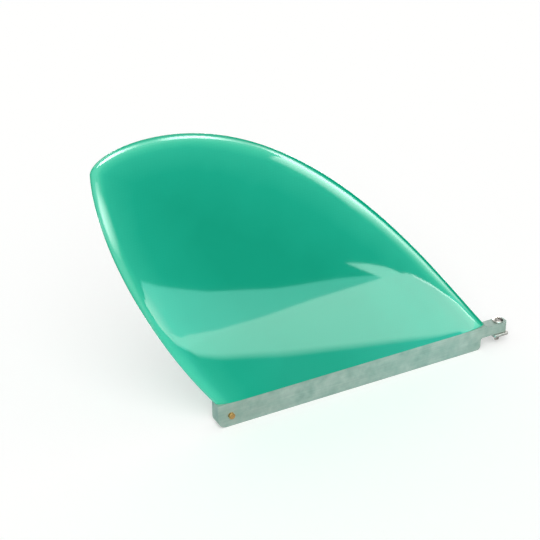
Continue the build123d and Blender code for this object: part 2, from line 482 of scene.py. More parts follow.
def foil_tree():
    """Blade from its outline: the rim is a quarter ellipse from the edge to the flat, on both sides."""
    tree, given = new_tree("Foiled blade", {
        "Outer Outline": "NodeSocketObject",
        "Inner Outline": "NodeSocketObject",
        "Panel Thickness": "NodeSocketFloat",
        "Crest Thickness": "NodeSocketFloat",
        "Blade Height": "NodeSocketFloat",
        "Rim Steps": "NodeSocketInt",
        "Flat Steps": "NodeSocketInt",
        "Material": "NodeSocketMaterial",
    })
    lines = []
    for side in ("Outer Outline", "Inner Outline"):
        source = add(tree, "GeometryNodeObjectInfo", {"Object": given[side]})
        lines.append(add(tree, "GeometryNodeCurveToMesh", {"Curve": source.outputs["Geometry"]}))
    around = add(tree, "GeometryNodeAttributeDomainSize", {"Geometry": lines[0]}, component="MESH")
    steps = add(tree, WHOLE, {0: given["Rim Steps"], 1: given["Flat Steps"]}, operation="ADD")
    rings = add(tree, WHOLE, {0: steps, 1: 1}, operation="ADD")
    sheet = add(tree, "GeometryNodeMeshGrid", {"Vertices X": around, "Vertices Y": rings})
    index = add(tree, "GeometryNodeInputIndex")
    along = add(tree, WHOLE, {0: index, 1: rings}, operation="DIVIDE_FLOOR")
    ring = add(tree, WHOLE, {0: index, 1: rings}, operation="MODULO")
    last = add(tree, WHOLE, {0: around, 1: 1}, operation="SUBTRACT")
    opposite = add(tree, WHOLE, {0: last, 1: along}, operation="SUBTRACT")
    place = add(tree, "GeometryNodeInputPosition")
    outer, inner, mate = [
        add(tree, "GeometryNodeSampleIndex", {"Geometry": line, "Value": place, "Index": which},
            data_type="FLOAT_VECTOR", domain="POINT")
        for line, which in ((lines[0], along), (lines[1], along), (lines[1], opposite))
    ]

    # rim: turn runs from 0 at the edge to a right angle at the flat
    turn = add(tree, SPREAD, {"Value": ring, "From Max": given["Rim Steps"], "To Max": math.pi / 2})
    cosine = add(tree, MATH, {0: turn}, operation="COSINE")
    inward = add(tree, MATH, {0: 1.0, 1: cosine}, operation="SUBTRACT")
    share = add(tree, MATH, {0: turn}, operation="SINE")
    on_rim = add(tree, "ShaderNodeMix", {"Factor": inward, "A": outer, "B": inner}, data_type="VECTOR")

    # flat: straight on from the rim to the line half way to the opposite rim
    across = add(tree, SPREAD, {"Value": ring, "From Min": given["Rim Steps"], "From Max": steps})
    middle = add(tree, "ShaderNodeMix", {"Factor": 0.5, "A": inner, "B": mate}, data_type="VECTOR")
    flat = add(tree, "ShaderNodeMix", {"Factor": across, "A": on_rim, "B": middle}, data_type="VECTOR")

    # the panel thins evenly from the base line to the crest
    parts = add(tree, "ShaderNodeSeparateXYZ", {0: flat})
    height = parts.outputs["Z"]
    half_foot = add(tree, MATH, {0: given["Panel Thickness"], 1: 0.5}, operation="MULTIPLY")
    half_crest = add(tree, MATH, {0: given["Crest Thickness"], 1: 0.5}, operation="MULTIPLY")
    half = add(tree, SPREAD, {
        "Value": height, "From Max": given["Blade Height"],
        "To Min": half_foot, "To Max": half_crest}, clamp=False)
    sunk = add(tree, SPREAD, {
        "Value": height, "From Min": -SUNK_FOOT, "From Max": 0.0, "To Min": -SUNK_SHARE, "To Max": -1.0})
    stand = add(tree, MATH, {0: share, 1: half}, operation="MULTIPLY")
    near_side = add(tree, MATH, {0: stand, 1: sunk}, operation="MULTIPLY")
    spot = add(tree, "ShaderNodeCombineXYZ", {"X": parts.outputs["X"], "Y": near_side, "Z": height})
    near = add(tree, "GeometryNodeSetPosition", {"Geometry": sheet, "Position": spot})

    # the laminate's colour, with its painted light at the rim and painted shade on the edge, follows the
    # distance from the outline
    flattened = add(tree, "ShaderNodeVectorMath", {0: place, 1: (1, 0, 1)}, operation="MULTIPLY")
    nearest = add(tree, "GeometryNodeProximity", {0: lines[0], "Sample Position": flattened},
                  target_element="EDGES")
    noted = add(tree, "GeometryNodeStoreNamedAttribute", {
        "Geometry": near, "Name": "from_edge", "Value": nearest.outputs["Distance"]},
        data_type="FLOAT", domain="CORNER")
    turned = add(tree, "GeometryNodeTransform", {"Geometry": noted, "Scale": (1, -1, 1)})
    far = add(tree, "GeometryNodeFlipFaces", {0: turned})
    both = add(tree, "GeometryNodeJoinGeometry", {0: noted})
    tree.links.new(far.outputs[0], both.inputs[0])
    return end_tree(tree, both, given["Material"])


def thread_tree():
    """Threaded rod along Z. Each row of the sheet follows the helix, so crests and roots stay crisp."""
    tree, given = new_tree("Screw thread", {
        "Diameter": "NodeSocketFloat",
        "Depth": "NodeSocketFloat",
        "Pitch": "NodeSocketFloat",
        "Bottom": "NodeSocketFloat",
        "Top": "NodeSocketFloat",
        "Run-out": "NodeSocketFloat",
        "Steps Round": "NodeSocketInt",
        "Steps per Pitch": "NodeSocketInt",
        "Material": "NodeSocketMaterial",
    })
    tall = add(tree, MATH, {0: given["Top"], 1: given["Bottom"]}, operation="SUBTRACT")
    pitches = add(tree, MATH, {0: tall, 1: given["Pitch"]}, operation="DIVIDE")
    # two to three turns more than the rod is long, because rows past its end planes are held on them
    turns = add(tree, MATH, {0: pitches, 1: 3.0}, operation="ADD")
    whole_turns = add(tree, MATH, {0: turns}, operation="FLOOR")
    steps = add(tree, WHOLE, {0: whole_turns, 1: given["Steps per Pitch"]}, operation="MULTIPLY")
    rows = add(tree, WHOLE, {0: steps, 1: 1}, operation="ADD")
    columns = add(tree, WHOLE, {0: given["Steps Round"], 1: 1}, operation="ADD")
    sheet = add(tree, "GeometryNodeMeshGrid", {"Vertices X": columns, "Vertices Y": rows})
    index = add(tree, "GeometryNodeInputIndex")
    column = add(tree, WHOLE, {0: index, 1: rows}, operation="DIVIDE_FLOOR")
    row = add(tree, WHOLE, {0: index, 1: rows}, operation="MODULO")

    # height along the helix, held between the two end planes
    part_turn = add(tree, MATH, {0: column, 1: given["Steps Round"]}, operation="DIVIDE")
    swing = add(tree, MATH, {0: part_turn, 1: math.tau}, operation="MULTIPLY")
    climb = add(tree, MATH, {0: row, 1: given["Steps per Pitch"]}, operation="DIVIDE")
    lead = add(tree, MATH, {0: climb, 1: part_turn}, operation="ADD")
    started = add(tree, MATH, {0: lead, 1: 1.0}, operation="SUBTRACT")
    free = add(tree, MATH, {0: started, 1: given["Pitch"], 2: given["Bottom"]}, operation="MULTIPLY_ADD")
    above = add(tree, MATH, {0: free, 1: given["Bottom"]}, operation="MAXIMUM")
    height = add(tree, MATH, {0: above, 1: given["Top"]}, operation="MINIMUM")

    # once in each pitch, the profile rises from a flat root to a flat crest and falls again: the root is
    # a quarter of the pitch, and the crest an eighth
    saw = add(tree, MATH, {0: climb}, operation="FRACT")
    double = add(tree, MATH, {0: saw, 1: 2.0, 2: -1.0}, operation="MULTIPLY_ADD")
    fall = add(tree, MATH, {0: double}, operation="ABSOLUTE")
    profile = add(tree, SPREAD, {
        "Value": fall, "From Min": 0.125, "From Max": 0.75, "To Min": 1.0, "To Max": 0.0})
    from_bottom = add(tree, MATH, {0: height, 1: given["Bottom"]}, operation="SUBTRACT")
    from_top = add(tree, MATH, {0: given["Top"], 1: height}, operation="SUBTRACT")
    near_end = add(tree, MATH, {0: from_bottom, 1: from_top}, operation="MINIMUM")
    fade = add(tree, SPREAD, {"Value": near_end, "From Max": given["Run-out"]})
    full = add(tree, MATH, {0: profile, 1: fade}, operation="MULTIPLY")
    half = add(tree, MATH, {0: given["Diameter"], 1: 0.5}, operation="MULTIPLY")
    core = add(tree, MATH, {0: half, 1: given["Depth"]}, operation="SUBTRACT")
    radius = add(tree, MATH, {0: full, 1: given["Depth"], 2: core}, operation="MULTIPLY_ADD")
    cosine = add(tree, MATH, {0: swing}, operation="COSINE")
    sine = add(tree, MATH, {0: swing}, operation="SINE")
    x = add(tree, MATH, {0: radius, 1: cosine}, operation="MULTIPLY")
    y = add(tree, MATH, {0: radius, 1: sine}, operation="MULTIPLY")
    spot = add(tree, "ShaderNodeCombineXYZ", {"X": x, "Y": y, "Z": height})
    wound = add(tree, "GeometryNodeSetPosition", {"Geometry": sheet, "Position": spot})
    return end_tree(tree, wound, given["Material"])


def stripes(spacing):
    """Scale of a wave texture whose lines are this far apart, in metres."""
    return math.pi / (10 * spacing)


def gloss_laminate(colours):
    """Glass-fibre laminate with pigmented resin, foiled, filled with clear resin and polished.

    The colour runs from deep in the middle of the blade to pale towards its thin rim. This is partly the
    resin's pigment and partly painted light: the pale rim is a painted reflection and painted light
    through the thin resin, and a darker line of painted shade runs on the edge.
    The surface is hard and smooth, so reflections are sharp, with a slow swell.
    """
    material, tree = new_material("gloss_glass_laminate")
    spot = add(tree, "ShaderNodeTexCoord").outputs["Object"]
    from_edge = add(tree, "ShaderNodeAttribute", attribute_name="from_edge").outputs["Fac"]

    # slow clouds of pigment shift the colour by up to 3 mm, less than that near the edge
    clouds = add(tree, "ShaderNodeTexNoise", {"Vector": spot, "Scale": 1 / (35 * MM), "Detail": 2.0})
    drift = add(tree, SPREAD, {
        "Value": clouds, "From Min": 0.3, "From Max": 0.7, "To Min": 0.88, "To Max": 1.12})
    depth = add(tree, MATH, {0: from_edge, 1: drift}, operation="MULTIPLY")
    # the edge's line of painted shade is hardly there on the trailing edge, thin on the tip and widest on
    # the leading edge
    growth = add(tree, "ShaderNodeVectorMath", {0: spot, 1: LINE_GROWTH}, operation="DOT_PRODUCT")
    wider = add(tree, MATH, {0: growth, 1: LINE_START}, operation="SUBTRACT")
    inside = add(tree, MATH, {0: depth, 1: wider}, operation="SUBTRACT")
    share = add(tree, MATH, {0: inside, 1: RAMP_DEPTH}, operation="DIVIDE", use_clamp=True)
    # painted light in the ramp: the paler thin and shoulder stops paint reflection and light through the
    # thin rim, and the darker edge stop paints shade on the very edge
    pigment_and_painted_light = add(tree, "ShaderNodeValToRGB", {0: share})
    ramp = pigment_and_painted_light.color_ramp.elements
    ramp[0].position, ramp[0].color = 0.5 * MM / RAMP_DEPTH, colours.edge
    ramp[1].color = colours.deep
    stops = ((1.5, colours.thin), (3.5, colours.thin), (9, colours.shoulder), (25, colours.body))
    for place, tone in stops:
        ramp.new(place * MM / RAMP_DEPTH).color = tone

    # glass cloth under the resin: 1 mm yarns, drawn 2 mm apart so that they show, and very faint
    warp = add(tree, "ShaderNodeTexWave", {"Vector": spot, "Scale": stripes(2 * MM)}, bands_direction="X")
    weft = add(tree, "ShaderNodeTexWave", {"Vector": spot, "Scale": stripes(2 * MM)}, bands_direction="Z")
    weave = add(tree, MATH, {0: warp.outputs["Fac"], 1: weft.outputs["Fac"]}, operation="MULTIPLY")
    faint = add(tree, SPREAD, {"Value": weave, "To Min": 0.985, "To Max": 1.02})
    shade = add(tree, "ShaderNodeVectorMath", {0: pigment_and_painted_light, "Scale": faint}, operation="SCALE")

    swell = add(tree, "ShaderNodeTexNoise", {"Vector": spot, "Scale": 1 / (40 * MM), "Detail": 0.0})
    polish = add(tree, "ShaderNodeBump", {"Height": swell, "Strength": 1.0, "Distance": 0.04 * MM})
    shader = add(tree, "ShaderNodeBsdfPrincipled", {
        "Base Color": shade, "Roughness": 0.05, "IOR": 1.55, "Normal": polish})
    add(tree, "ShaderNodeOutputMaterial", {"Surface": shader})
    return material


def sanded_laminate(colours):
    """Bare glass-fibre laminate, sawn from the panel and sanded.

    It is dull and greyer than the coated blade, with sanding scratches along the tab. Its plies show as
    lines on the cut edges only.
    """
    material, tree = new_material("sanded_glass_laminate")
    spot = add(tree, "ShaderNodeTexCoord").outputs["Object"]
    # 0.1 mm scratches from 80 grit, drawn 0.5 mm wide so that they show
    drawn_out = add(tree, "ShaderNodeMapping", {
        "Vector": spot, "Scale": (1 / (40 * MM), 1 / (0.5 * MM), 1 / (0.5 * MM))})
    scratches = add(tree, "ShaderNodeTexNoise", {"Vector": drawn_out, "Scale": 1.0, "Detail": 3.0})
    mottle = add(tree, "ShaderNodeTexNoise", {"Vector": spot, "Scale": 1 / (9 * MM), "Detail": 4.0})
    # plies 0.45 mm apart, across the thickness
    plies = add(tree, "ShaderNodeTexWave", {
        "Vector": spot, "Scale": stripes(0.45 * MM), "Distortion": 1.5, "Detail": 2.0,
        "Detail Scale": 0.3}, bands_direction="Y")
    grey = add(tree, SPREAD, {"Value": mottle, "From Min": 0.3, "From Max": 0.7})
    ground = add(tree, "ShaderNodeMix", {
        "Factor": grey, "A": colours.sanded, "B": colours.dust}, data_type="RGBA")
    lines = add(tree, SPREAD, {"Value": plies.outputs["Fac"], "To Min": 0.88, "To Max": 1.06})
    marks = add(tree, SPREAD, {"Value": scratches, "From Min": 0.3, "From Max": 0.7,
                               "To Min": 0.92, "To Max": 1.07})
    both = add(tree, MATH, {0: lines, 1: marks}, operation="MULTIPLY")
    shade = add(tree, "ShaderNodeVectorMath", {0: ground, "Scale": both}, operation="SCALE")
    rough = add(tree, SPREAD, {"Value": scratches, "To Min": 0.45, "To Max": 0.7})
    relief = add(tree, "ShaderNodeBump", {"Height": scratches, "Strength": 0.6, "Distance": 0.05 * MM})
    shader = add(tree, "ShaderNodeBsdfPrincipled", {
        "Base Color": shade, "Roughness": rough, "IOR": 1.5, "Normal": relief})
    add(tree, "ShaderNodeOutputMaterial", {"Surface": shader})
    return material


def metal(name, tint, centre, turned, ring, grain):
    """Bare metal with a grain, and with turning rings round an axis.

    The rings cross only the faces that the tool faced off: on the sides, their radius doesn't change.
    """
    material, tree = new_material(name)
    spot = add(tree, "ShaderNodeTexCoord").outputs["Object"]
    centred = add(tree, "ShaderNodeMapping", {
        "Vector": spot, "Location": [-value for value in centre]}, vector_type="POINT")
    rings = add(tree, "ShaderNodeTexWave", {
        "Vector": centred, "Scale": stripes(ring), "Distortion": 0.6, "Detail": 1.0},
        wave_type="RINGS", rings_direction=turned)
    stretched = add(tree, "ShaderNodeMapping", {"Vector": spot, "Scale": [1 / size for size in grain]})
    lines = add(tree, "ShaderNodeTexNoise", {"Vector": stretched, "Scale": 1.0, "Detail": 3.0})
    film = add(tree, "ShaderNodeTexNoise", {"Vector": spot, "Scale": 1 / (3 * MM), "Detail": 3.0})
    tone = add(tree, SPREAD, {"Value": film, "From Min": 0.25, "From Max": 0.75,
                              "To Min": 0.82, "To Max": 1.05})
    shade = add(tree, "ShaderNodeVectorMath", {0: tint[:3], "Scale": tone}, operation="SCALE")
    rough = add(tree, SPREAD, {"Value": lines, "From Min": 0.3, "From Max": 0.7,
                               "To Min": 0.22, "To Max": 0.38})
    relief = add(tree, MATH, {0: rings.outputs["Fac"], 1: 0.6, 2: lines}, operation="MULTIPLY_ADD")
    bump = add(tree, "ShaderNodeBump", {"Height": relief, "Strength": 0.5, "Distance": 0.01 * MM})
    shader = add(tree, "ShaderNodeBsdfPrincipled", {
        "Base Color": shade, "Metallic": 1.0, "Roughness": rough, "Normal": bump})
    add(tree, "ShaderNodeOutputMaterial", {"Surface": shader})
    return material


def drawn_brass(hardware, colours):
    """Drawn brass rod, cut off and faced: fine lines along it, rings on its ends, dulled by handling."""
    centre = (hardware.pin_from_rear, 0, -hardware.pin_drop)
    return metal("drawn_brass", colours.brass, centre, "Y", 0.35 * MM, (0.3 * MM, 6 * MM, 0.3 * MM))


def turned_stainless(centre, colours):
    """Cold-headed stainless steel screw: faint rings round its head."""
    return metal("turned_stainless", colours.steel, centre, "Z", 0.4 * MM, [0.5 * MM] * 3)


def rolled_stainless(centre, colours):
    """Stainless steel plate, stamped from rolled sheet and tumbled: a soft grain along the sheet."""
    return metal("rolled_stainless", colours.steel, centre, "Z", 40 * MM, (5 * MM, 0.3 * MM, 1 * MM))


def screw_place(scene, drop=0.0):
    """Point on the screw's axis, this far below the base line."""
    return (scene.fin_blade.base_chord + scene.fin_hardware.screw_lead, 0, -drop)


class FIN_OT_blade_and_tab(bpy.types.Operator):
    """Foiled blade with its base tab and tongue, in one piece"""
    bl_idname = "longboard_fin.blade_and_tab"
    bl_label = "Blade and Tab"

    def execute(self, context):
        scene = context.scene
        blade, tab, hardware = scene.fin_blade, scene.fin_tab, scene.fin_hardware
        materials = [gloss_laminate(scene.fin_colours), sanded_laminate(scene.fin_colours)]
        outlines = [outline_curve("outer_outline", blade, 0), outline_curve("inner_outline", blade, 1)]
        piece = run_tree("laminate_fin", foil_tree(), {
            "Outer Outline": outlines[0], "Inner Outline": outlines[1],
            "Panel Thickness": blade.panel_thickness, "Crest Thickness": blade.crest_thickness,
            "Blade Height": blade.blade_height, "Rim Steps": RIM_STEPS, "Flat Steps": FLAT_STEPS,
            "Material": materials[0]})
        for outline in outlines:
            bpy.data.objects.remove(outline)
        close_holes(piece)
        piece.data.materials.append(materials[1])
        pin_hole = bar(hardware.pin_diameter / 2 + PIN_HOLE_CLEARANCE, blade.panel_thickness)
        screw_hole = bar(hardware.screw_diameter / 2 + SCREW_HOLE_CLEARANCE, tab.tongue_thickness)
        middle = screw_place(scene, tab.tongue_drop + tab.tongue_thickness / 2)
        bmesh.ops.translate(screw_hole, verts=screw_hole.verts, vec=middle)
        for name, bm, operation in (
                ("tab", self.slab(blade, tab), "UNION"),
                ("pin_hole", lay_across(pin_hole, hardware), "DIFFERENCE"),
                ("screw_hole", screw_hole, "DIFFERENCE")):
            combine(piece, from_bmesh(name, bm, materials, 1), operation)
        finish(piece, "fin")
        return {"FINISHED"}

    def slab(self, blade, tab):
        """Deep tab and tongue as one slab of the panel."""
        front, tongue_end = blade.base_chord - tab.front_setback, blade.base_chord + tab.tongue_reach
        top = -tab.tongue_drop
        under = top - tab.tongue_thickness
        half = blade.panel_thickness / 2 - JOINT_STEP
        side = rounded([
            (-JOINT_STEP, 0, 0),
            (-JOINT_STEP, -tab.tab_depth, tab.rear_round),
            (front, -tab.tab_depth, tab.front_round),
            (front, under, tab.tongue_root_round),
            (tongue_end, under, 0),
            (tongue_end, top, 0),
            (blade.base_chord + JOINT_STEP, top, 0),
            (blade.base_chord + JOINT_STEP, 0, 0),
        ])
        bm = bmesh.new()
        face = bm.faces.new([bm.verts.new(point + Vector((0, -half, 0))) for point in side])
        grown = bmesh.ops.extrude_face_region(bm, geom=[face])["geom"]
        moved = [v for v in grown if isinstance(v, bmesh.types.BMVert)]
        bmesh.ops.translate(bm, verts=moved, vec=(0, 2 * half, 0))

        def side_edges(axis, place):
            return [
                edge for edge in bm.edges
                if all(abs(v.co[axis] - place) < SAME for v in edge.verts)
                and abs(edge.verts[0].co.y - edge.verts[1].co.y) < SAME
            ]

        bevel(bm, side_edges(0, tongue_end), tab.tongue_end_round, segments=8)
        bevel(bm, side_edges(2, -tab.tab_depth), tab.edge_break, segments=2)
        return bm


class FIN_OT_cross_pin(bpy.types.Operator):
    """Brass rod across the rear of the tab"""
    bl_idname = "longboard_fin.cross_pin"
    bl_label = "Cross Pin"

    def execute(self, context):
        scene = context.scene
        hardware = scene.fin_hardware
        half = hardware.pin_length / 2
        flat, side = hardware.pin_diameter / 2 - PIN_END_ROUND, half - PIN_END_ROUND
        profile = [(0, -half), (flat, -half)]
        profile += arc((flat, -side), PIN_END_ROUND, -90, 0, steps=5)[1:]
        profile += arc((flat, side), PIN_END_ROUND, 0, 90, steps=5)
        profile += [(0, half)]
        brass = drawn_brass(hardware, scene.fin_colours)
        piece = from_bmesh("brass_pin", lay_across(lathe(profile), hardware), [brass])
        finish(piece, "cross_pin")
        return {"FINISHED"}


def threaded(name, hardware, bottom, top, grow, material):
    """Rod with the screw's thread between two heights. A cutter for the mating hole is grown a little."""
    piece = run_tree(name, thread_tree(), {
        "Diameter": hardware.screw_diameter + 2 * grow, "Depth": THREAD_DEPTH * hardware.thread_pitch,
        "Pitch": hardware.thread_pitch, "Bottom": bottom, "Top": top, "Run-out": THREAD_RUN_OUT,
        "Steps Round": THREAD_STEPS, "Steps per Pitch": PITCH_STEPS, "Material": material})
    return close_holes(piece)


class FIN_OT_fin_screw(bpy.types.Operator):
    """Pan-head screw with a cross recess and a rolled thread"""
    bl_idname = "longboard_fin.fin_screw"
    bl_label = "Fin Screw"

    def execute(self, context):
        scene = context.scene
        hardware = scene.fin_hardware
        steel = turned_stainless(screw_place(scene), scene.fin_colours)
        piece = from_bmesh("steel_screw", self.head(hardware), [steel])
        shank = threaded("shank", hardware, -hardware.screw_length, SHANK_OVERLAP, 0, steel)
        combine(piece, shank, "UNION")
        combine(piece, from_bmesh("recess", self.recess(hardware), [steel]), "DIFFERENCE")
        piece.data.transform(Matrix.Translation(screw_place(scene, scene.fin_tab.tongue_drop)))
        finish(piece, "fin_screw")
        return {"FINISHED"}

    def head(self, hardware):
        """Pan head with its seat at the origin."""
        radius, wall = hardware.head_diameter / 2, hardware.head_wall
        dome = hardware.head_height - wall
        dome_radius = (radius ** 2 + dome ** 2) / (2 * dome)
        reach = math.degrees(math.asin(radius / dome_radius))
        profile = [(0, 0), (radius - SEAT_ROUND, 0)]
        profile += arc((radius - SEAT_ROUND, SEAT_ROUND), SEAT_ROUND, -90, 0, steps=4)[1:]
        profile += [(radius, wall - WALL_ROUND)]
        centre, rim = (0, hardware.head_height - dome_radius), 90 - reach + DOME_INSET
        profile += arc(centre, dome_radius, rim, 90, steps=14)[:-1]
        profile += [(0, hardware.head_height)]
        return lathe(profile)

    def recess(self, hardware):
        """Cutter with four arms that narrow downwards to a point."""
        bm = bmesh.new()
        rings = []
        for drop in (-RECESS_ABOVE, hardware.recess_depth):
            span = hardware.recess_span / 2 - drop * RECESS_SLOPE
            arm = hardware.recess_width / 2 - drop * RECESS_NARROWING
            turns = [Matrix.Rotation(math.radians(90) * k, 2) for k in range(4)]
            quarter = [Vector(p) for p in ((span, -arm), (span, arm), (arm, arm))]
            corners = [turn @ p for turn in turns for p in quarter]
            height = hardware.head_height - drop
            rings.append([bm.verts.new((c.x, c.y, height)) for c in corners])
        high, low = rings
        bm.faces.new(high)
        point = bm.verts.new((0, 0, hardware.head_height - hardware.recess_depth - RECESS_POINT))
        for i in range(len(high)):
            k = (i + 1) % len(high)
            bm.faces.new((high[i], high[k], low[k], low[i]))
            bm.faces.new((low[i], low[k], point))
        return bm


class FIN_OT_screw_plate(bpy.types.Operator):
    """Square threaded plate under the tongue"""
    bl_idname = "longboard_fin.screw_plate"
    bl_label = "Screw Plate"

    def execute(self, context):
        scene = context.scene
        hardware, tab = scene.fin_hardware, scene.fin_tab
        side, thick = hardware.plate_side, hardware.plate_thickness
        under = -tab.tongue_drop - tab.tongue_thickness
        bm = bmesh.new()
        bmesh.ops.create_cube(bm, size=1)
        bmesh.ops.scale(bm, vec=(side, side, thick), verts=bm.verts)

        def climb(edge):
            return abs(edge.verts[0].co.z - edge.verts[1].co.z)

        upright = [edge for edge in bm.edges if climb(edge) > thick / 2]
        bevel(bm, upright, PLATE_CORNER_ROUND, segments=6)
        level = [edge for edge in bm.edges if climb(edge) < thick / 2]
        bevel(bm, level, PLATE_EDGE_ROUND, segments=3)
        bmesh.ops.translate(bm, verts=bm.verts, vec=(0, 0, under - thick / 2))
        steel = rolled_stainless(screw_place(scene), scene.fin_colours)
        piece = from_bmesh("steel_plate", bm, [steel])
        # the cutter starts a whole number of turns above the screw's end, so that the threads mesh
        bottom = TAP_TURNS * hardware.thread_pitch - hardware.screw_length - tab.tongue_drop
        cutter = threaded("tapped_hole", hardware, bottom, under + TAP_RISE, THREAD_CLEARANCE, steel)
        combine(piece, cutter, "DIFFERENCE")
        piece.data.transform(Matrix.Translation(screw_place(scene)))
        finish(piece, "screw_plate")
        return {"FINISHED"}


PAPER, MINT, DUSK, SEA = (1, 1, 1, 1), linear("#D6FFF3"), linear("#ACFFF6"), linear("#86FFFF")

# Cards that only reflections see: dark felt, and bright cards that draw the bands and streaks. Cover
# along the rows and across them fades a card out where its edge is soft.
# A floor card lies on both sides of the fin: name, height above the floor, tint, strength, cover along
# the rows, cover across them, and rows of (x, y), in millimetres.
FLOOR_CARDS = [
    ("felt", 0.2, PAPER, 0.0, (1, 1, 1, 1, 1, 0), (0, 1, 1), [
        [(-90, -9), (-62, -9), (3000, -9)],
        [(-90, -90), (-66, -90), (3000, -90)],
        [(-70, -250), (-40, -250), (3000, -250)],
        [(-60, -450), (0, -450), (3000, -450)],
        [(-60, -900), (60, -900), (3000, -900)],
        [(100, -4500), (400, -4500), (3000, -4500)],
    ]),
    ("shade", 0.2, PAPER, 0.0, (1, 1, 0), (0, 0.7, 0.7, 0), [
        [(-700, -2), (-500, -2), (-100, -2), (-92, -2)],
        [(-700, -60), (-500, -60), (-110, -60), (-92, -60)],
        [(-700, -110), (-500, -100), (-110, -90), (-92, -90)],
    ]),
    ("sill", 0.3, SEA, 2.0, (1, 1), (0, 0.5, 0.5, 0, 0.2, 0.45, 0.45, 0.85, 1, 0), [
        [(-90, -5), (-55, -5), (-8, -5), (22, -5), (45, -5), (70, -5), (110, -5), (150, -5), (200, -5),
         (222, -5)],
        [(-90, -110), (-55, -110), (-8, -110), (22, -110), (65, -110), (90, -110), (130, -110),
         (180, -110), (330, -110), (400, -110)],
    ]),
    ("apron", 0.35, PAPER, 0.7, (1, 1), (0, 1, 1, 0), [
        [(224, -6), (232, -6), (266, -6), (276, -6)],
        [(226, -24), (238, -24), (274, -24), (284, -24)],
    ]),
    ("rear_apron", 0.35, PAPER, 0.7, (1, 1), (0, 1, 1, 0), [
        [(0, -6), (6, -6), (26, -6), (34, -6)],
        [(4, -24), (12, -24), (32, -24), (40, -24)],
    ]),
    ("far_card", 0.4, DUSK, 3.5, (1, 1), (1, 1, 1, 1, 1, 0.95, 0.85, 0.75, 0.7), [
        [(-44, -102), (-28, -97), (-13, -94), (5, -97), (37, -118), (83, -127), (133, -132),
         (190, -136), (235, -138)],
        [(-52, -132), (-48, -142), (-32, -158), (1, -199), (37, -228), (83, -188), (133, -165),
         (190, -154), (235, -139)],
    ]),
    ("far_lip", 0.5, PAPER, 5.0, (0.5, 1, 1, 0.9), (1, 0.6, 0.25, 0), [
        [(-13, -94), (-5, -97), (4, -101), (16, -107)],
        [(-44, -102), (-25, -119), (-3, -134), (21, -146)],
        [(-52, -132), (-27, -152), (14, -176), (45, -190)],
        [(-48, -142), (-27, -164), (12, -207), (45, -220)],
    ]),
    ("near_card", 0.6, MINT, 5.6, (0, 0.86, 1), (0.9, 0.9, 0.92, 0.93, 0.97, 1, 0.97, 0.92, 0.88), [
        [(-9, -99), (27, -97), (46, -84), (86, -66), (129, -53), (181, -39), (207, -32), (229, -28),
         (290, -22)],
        [(-9, -104), (28, -107), (46, -96), (86, -79), (129, -65), (181, -49), (207, -40), (240, -34),
         (297, -55)],
        [(-9, -117), (38, -132), (62, -128), (98, -129), (147, -134), (218, -138), (256, -136),
         (286, -125), (320, -95)],
    ]),
    ("near_end", 0.65, PAPER, 3.6, (1, 1), (0, 0.85, 1, 1), [
        [(207, -40), (246, -36), (270, -45), (297, -55)],
        [(214, -138), (258, -136), (286, -125), (320, -95)],
    ]),
    ("near_wedge", 0.7, MINT, 5.2, (1, 1, 1, 1), (1, 1), [
        [(206, -175), (206, -175)],
        [(210, -163), (222, -165)],
        [(214, -150), (231, -153)],
        [(218, -137), (238, -137)],
    ]),
    ("near_lip", 0.8, PAPER, 9.0, (1, 1, 1, 1), (0, 1, 0), [
        [(252, -140), (254, -136), (252, -130)],
        [(290, -130), (284, -124), (277, -119)],
        [(326, -94), (316, -92), (306, -90)],
        [(299, -48), (291, -52), (282, -54)],
    ]),
    ("tail_card", 0.6, PAPER, 11.0, (0, 0.7, 1, 0.9, 0.4, 0), (0, 1, 0.65, 0), [
        [(-150, -160), (-110, -180), (-80, -200), (-40, -230)],
        [(-180, -175), (-130, -225), (-85, -260), (20, -305)],
        [(-200, -210), (-150, -260), (-95, -300), (30, -345)],
        [(-225, -265), (-150, -320), (-90, -355), (20, -380)],
        [(-240, -340), (-160, -390), (-110, -412), (-60, -430)],
        [(-260, -430), (-180, -480), (-120, -500), (-70, -520)],
    ]),
    ("tail_glint", 0.6, PAPER, 3.0, (1, 1, 1), (0, 1, 0), [
        [(-300, -150), (-262, -145), (-235, -140)],
        [(-300, -90), (-250, -90), (-215, -90)],
        [(-300, -2), (-250, -2), (-215, -2)],
    ]),
    ("leading_card", 0.9, PAPER, 14.0, (0, 0.25, 0.4, 0.44, 0.65, 0.85, 1, 1, 0.85, 0.85),
     (0, 1, 0.54, 0.25, 0), [
        [(345, -57), (330, -57), (320, -57), (310, -57), (300, -57)],
        [(461, -97), (385, -100), (368, -99), (350, -98), (330, -95)],
        [(628, -180), (455, -171), (410, -163), (375, -154), (340, -143)],
        [(902, -318), (560, -262), (480, -240), (430, -224), (350, -194)],
        [(2100, -1050), (760, -504), (600, -428), (477, -361), (361, -293)],
        [(2672, -1649), (900, -681), (604, -503), (438, -394), (350, -330)],
        [(4000, -2900), (1200, -1010), (682, -635), (465, -471), (375, -398)],
        [(7300, -5800), (1700, -1600), (794, -818), (500, -563), (400, -470)],
        [(9000, -9100), (3000, -3260), (1002, -1202), (560, -735), (435, -595)],
        [(9000, -9400), (3000, -3310), (1002, -1265), (560, -775), (440, -625)],
    ]),
]

